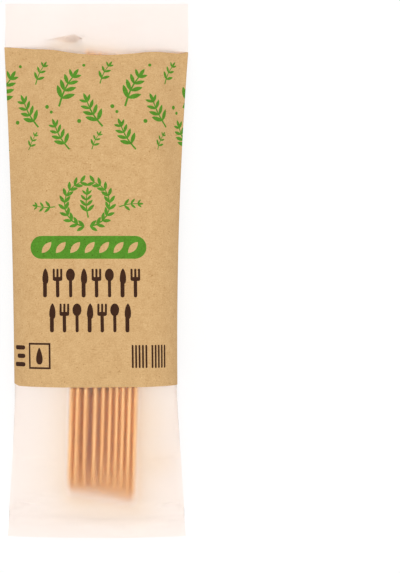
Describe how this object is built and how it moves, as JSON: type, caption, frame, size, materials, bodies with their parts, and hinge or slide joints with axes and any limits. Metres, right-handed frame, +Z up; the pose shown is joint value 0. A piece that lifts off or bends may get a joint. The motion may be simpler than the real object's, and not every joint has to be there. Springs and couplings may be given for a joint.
{
  "type": "wooden cutlery pack",
  "caption": "Flat frosted film bag of wooden table knives stacked on edge, sealed at both ends, with a kraft paper band wrapped round its middle.",
  "frame": {"origin": "middle of the footprint, on the surface that the pack lies on", "axes": "+Z up out of the front of the pack, +Y along it towards the knife tips, +X across it to the right"},
  "size_m": [0.0689, 0.2, 0.0211],
  "materials": {
    "frosted_film": "frosted translucent film",
    "kraft_paper": "uncoated brown kraft paper",
    "birch": "untreated birch veneer"
  },
  "bodies": {
    "root": {"film_bag": "frosted_film", "kraft_band": "kraft_paper", "knife_01": "birch", "knife_02": "birch", "knife_03": "birch", "knife_04": "birch", "knife_05": "birch", "knife_06": "birch", "knife_07": "birch", "knife_08": "birch", "knife_09": "birch", "knife_10": "birch"}
  },
  "joints": []
}
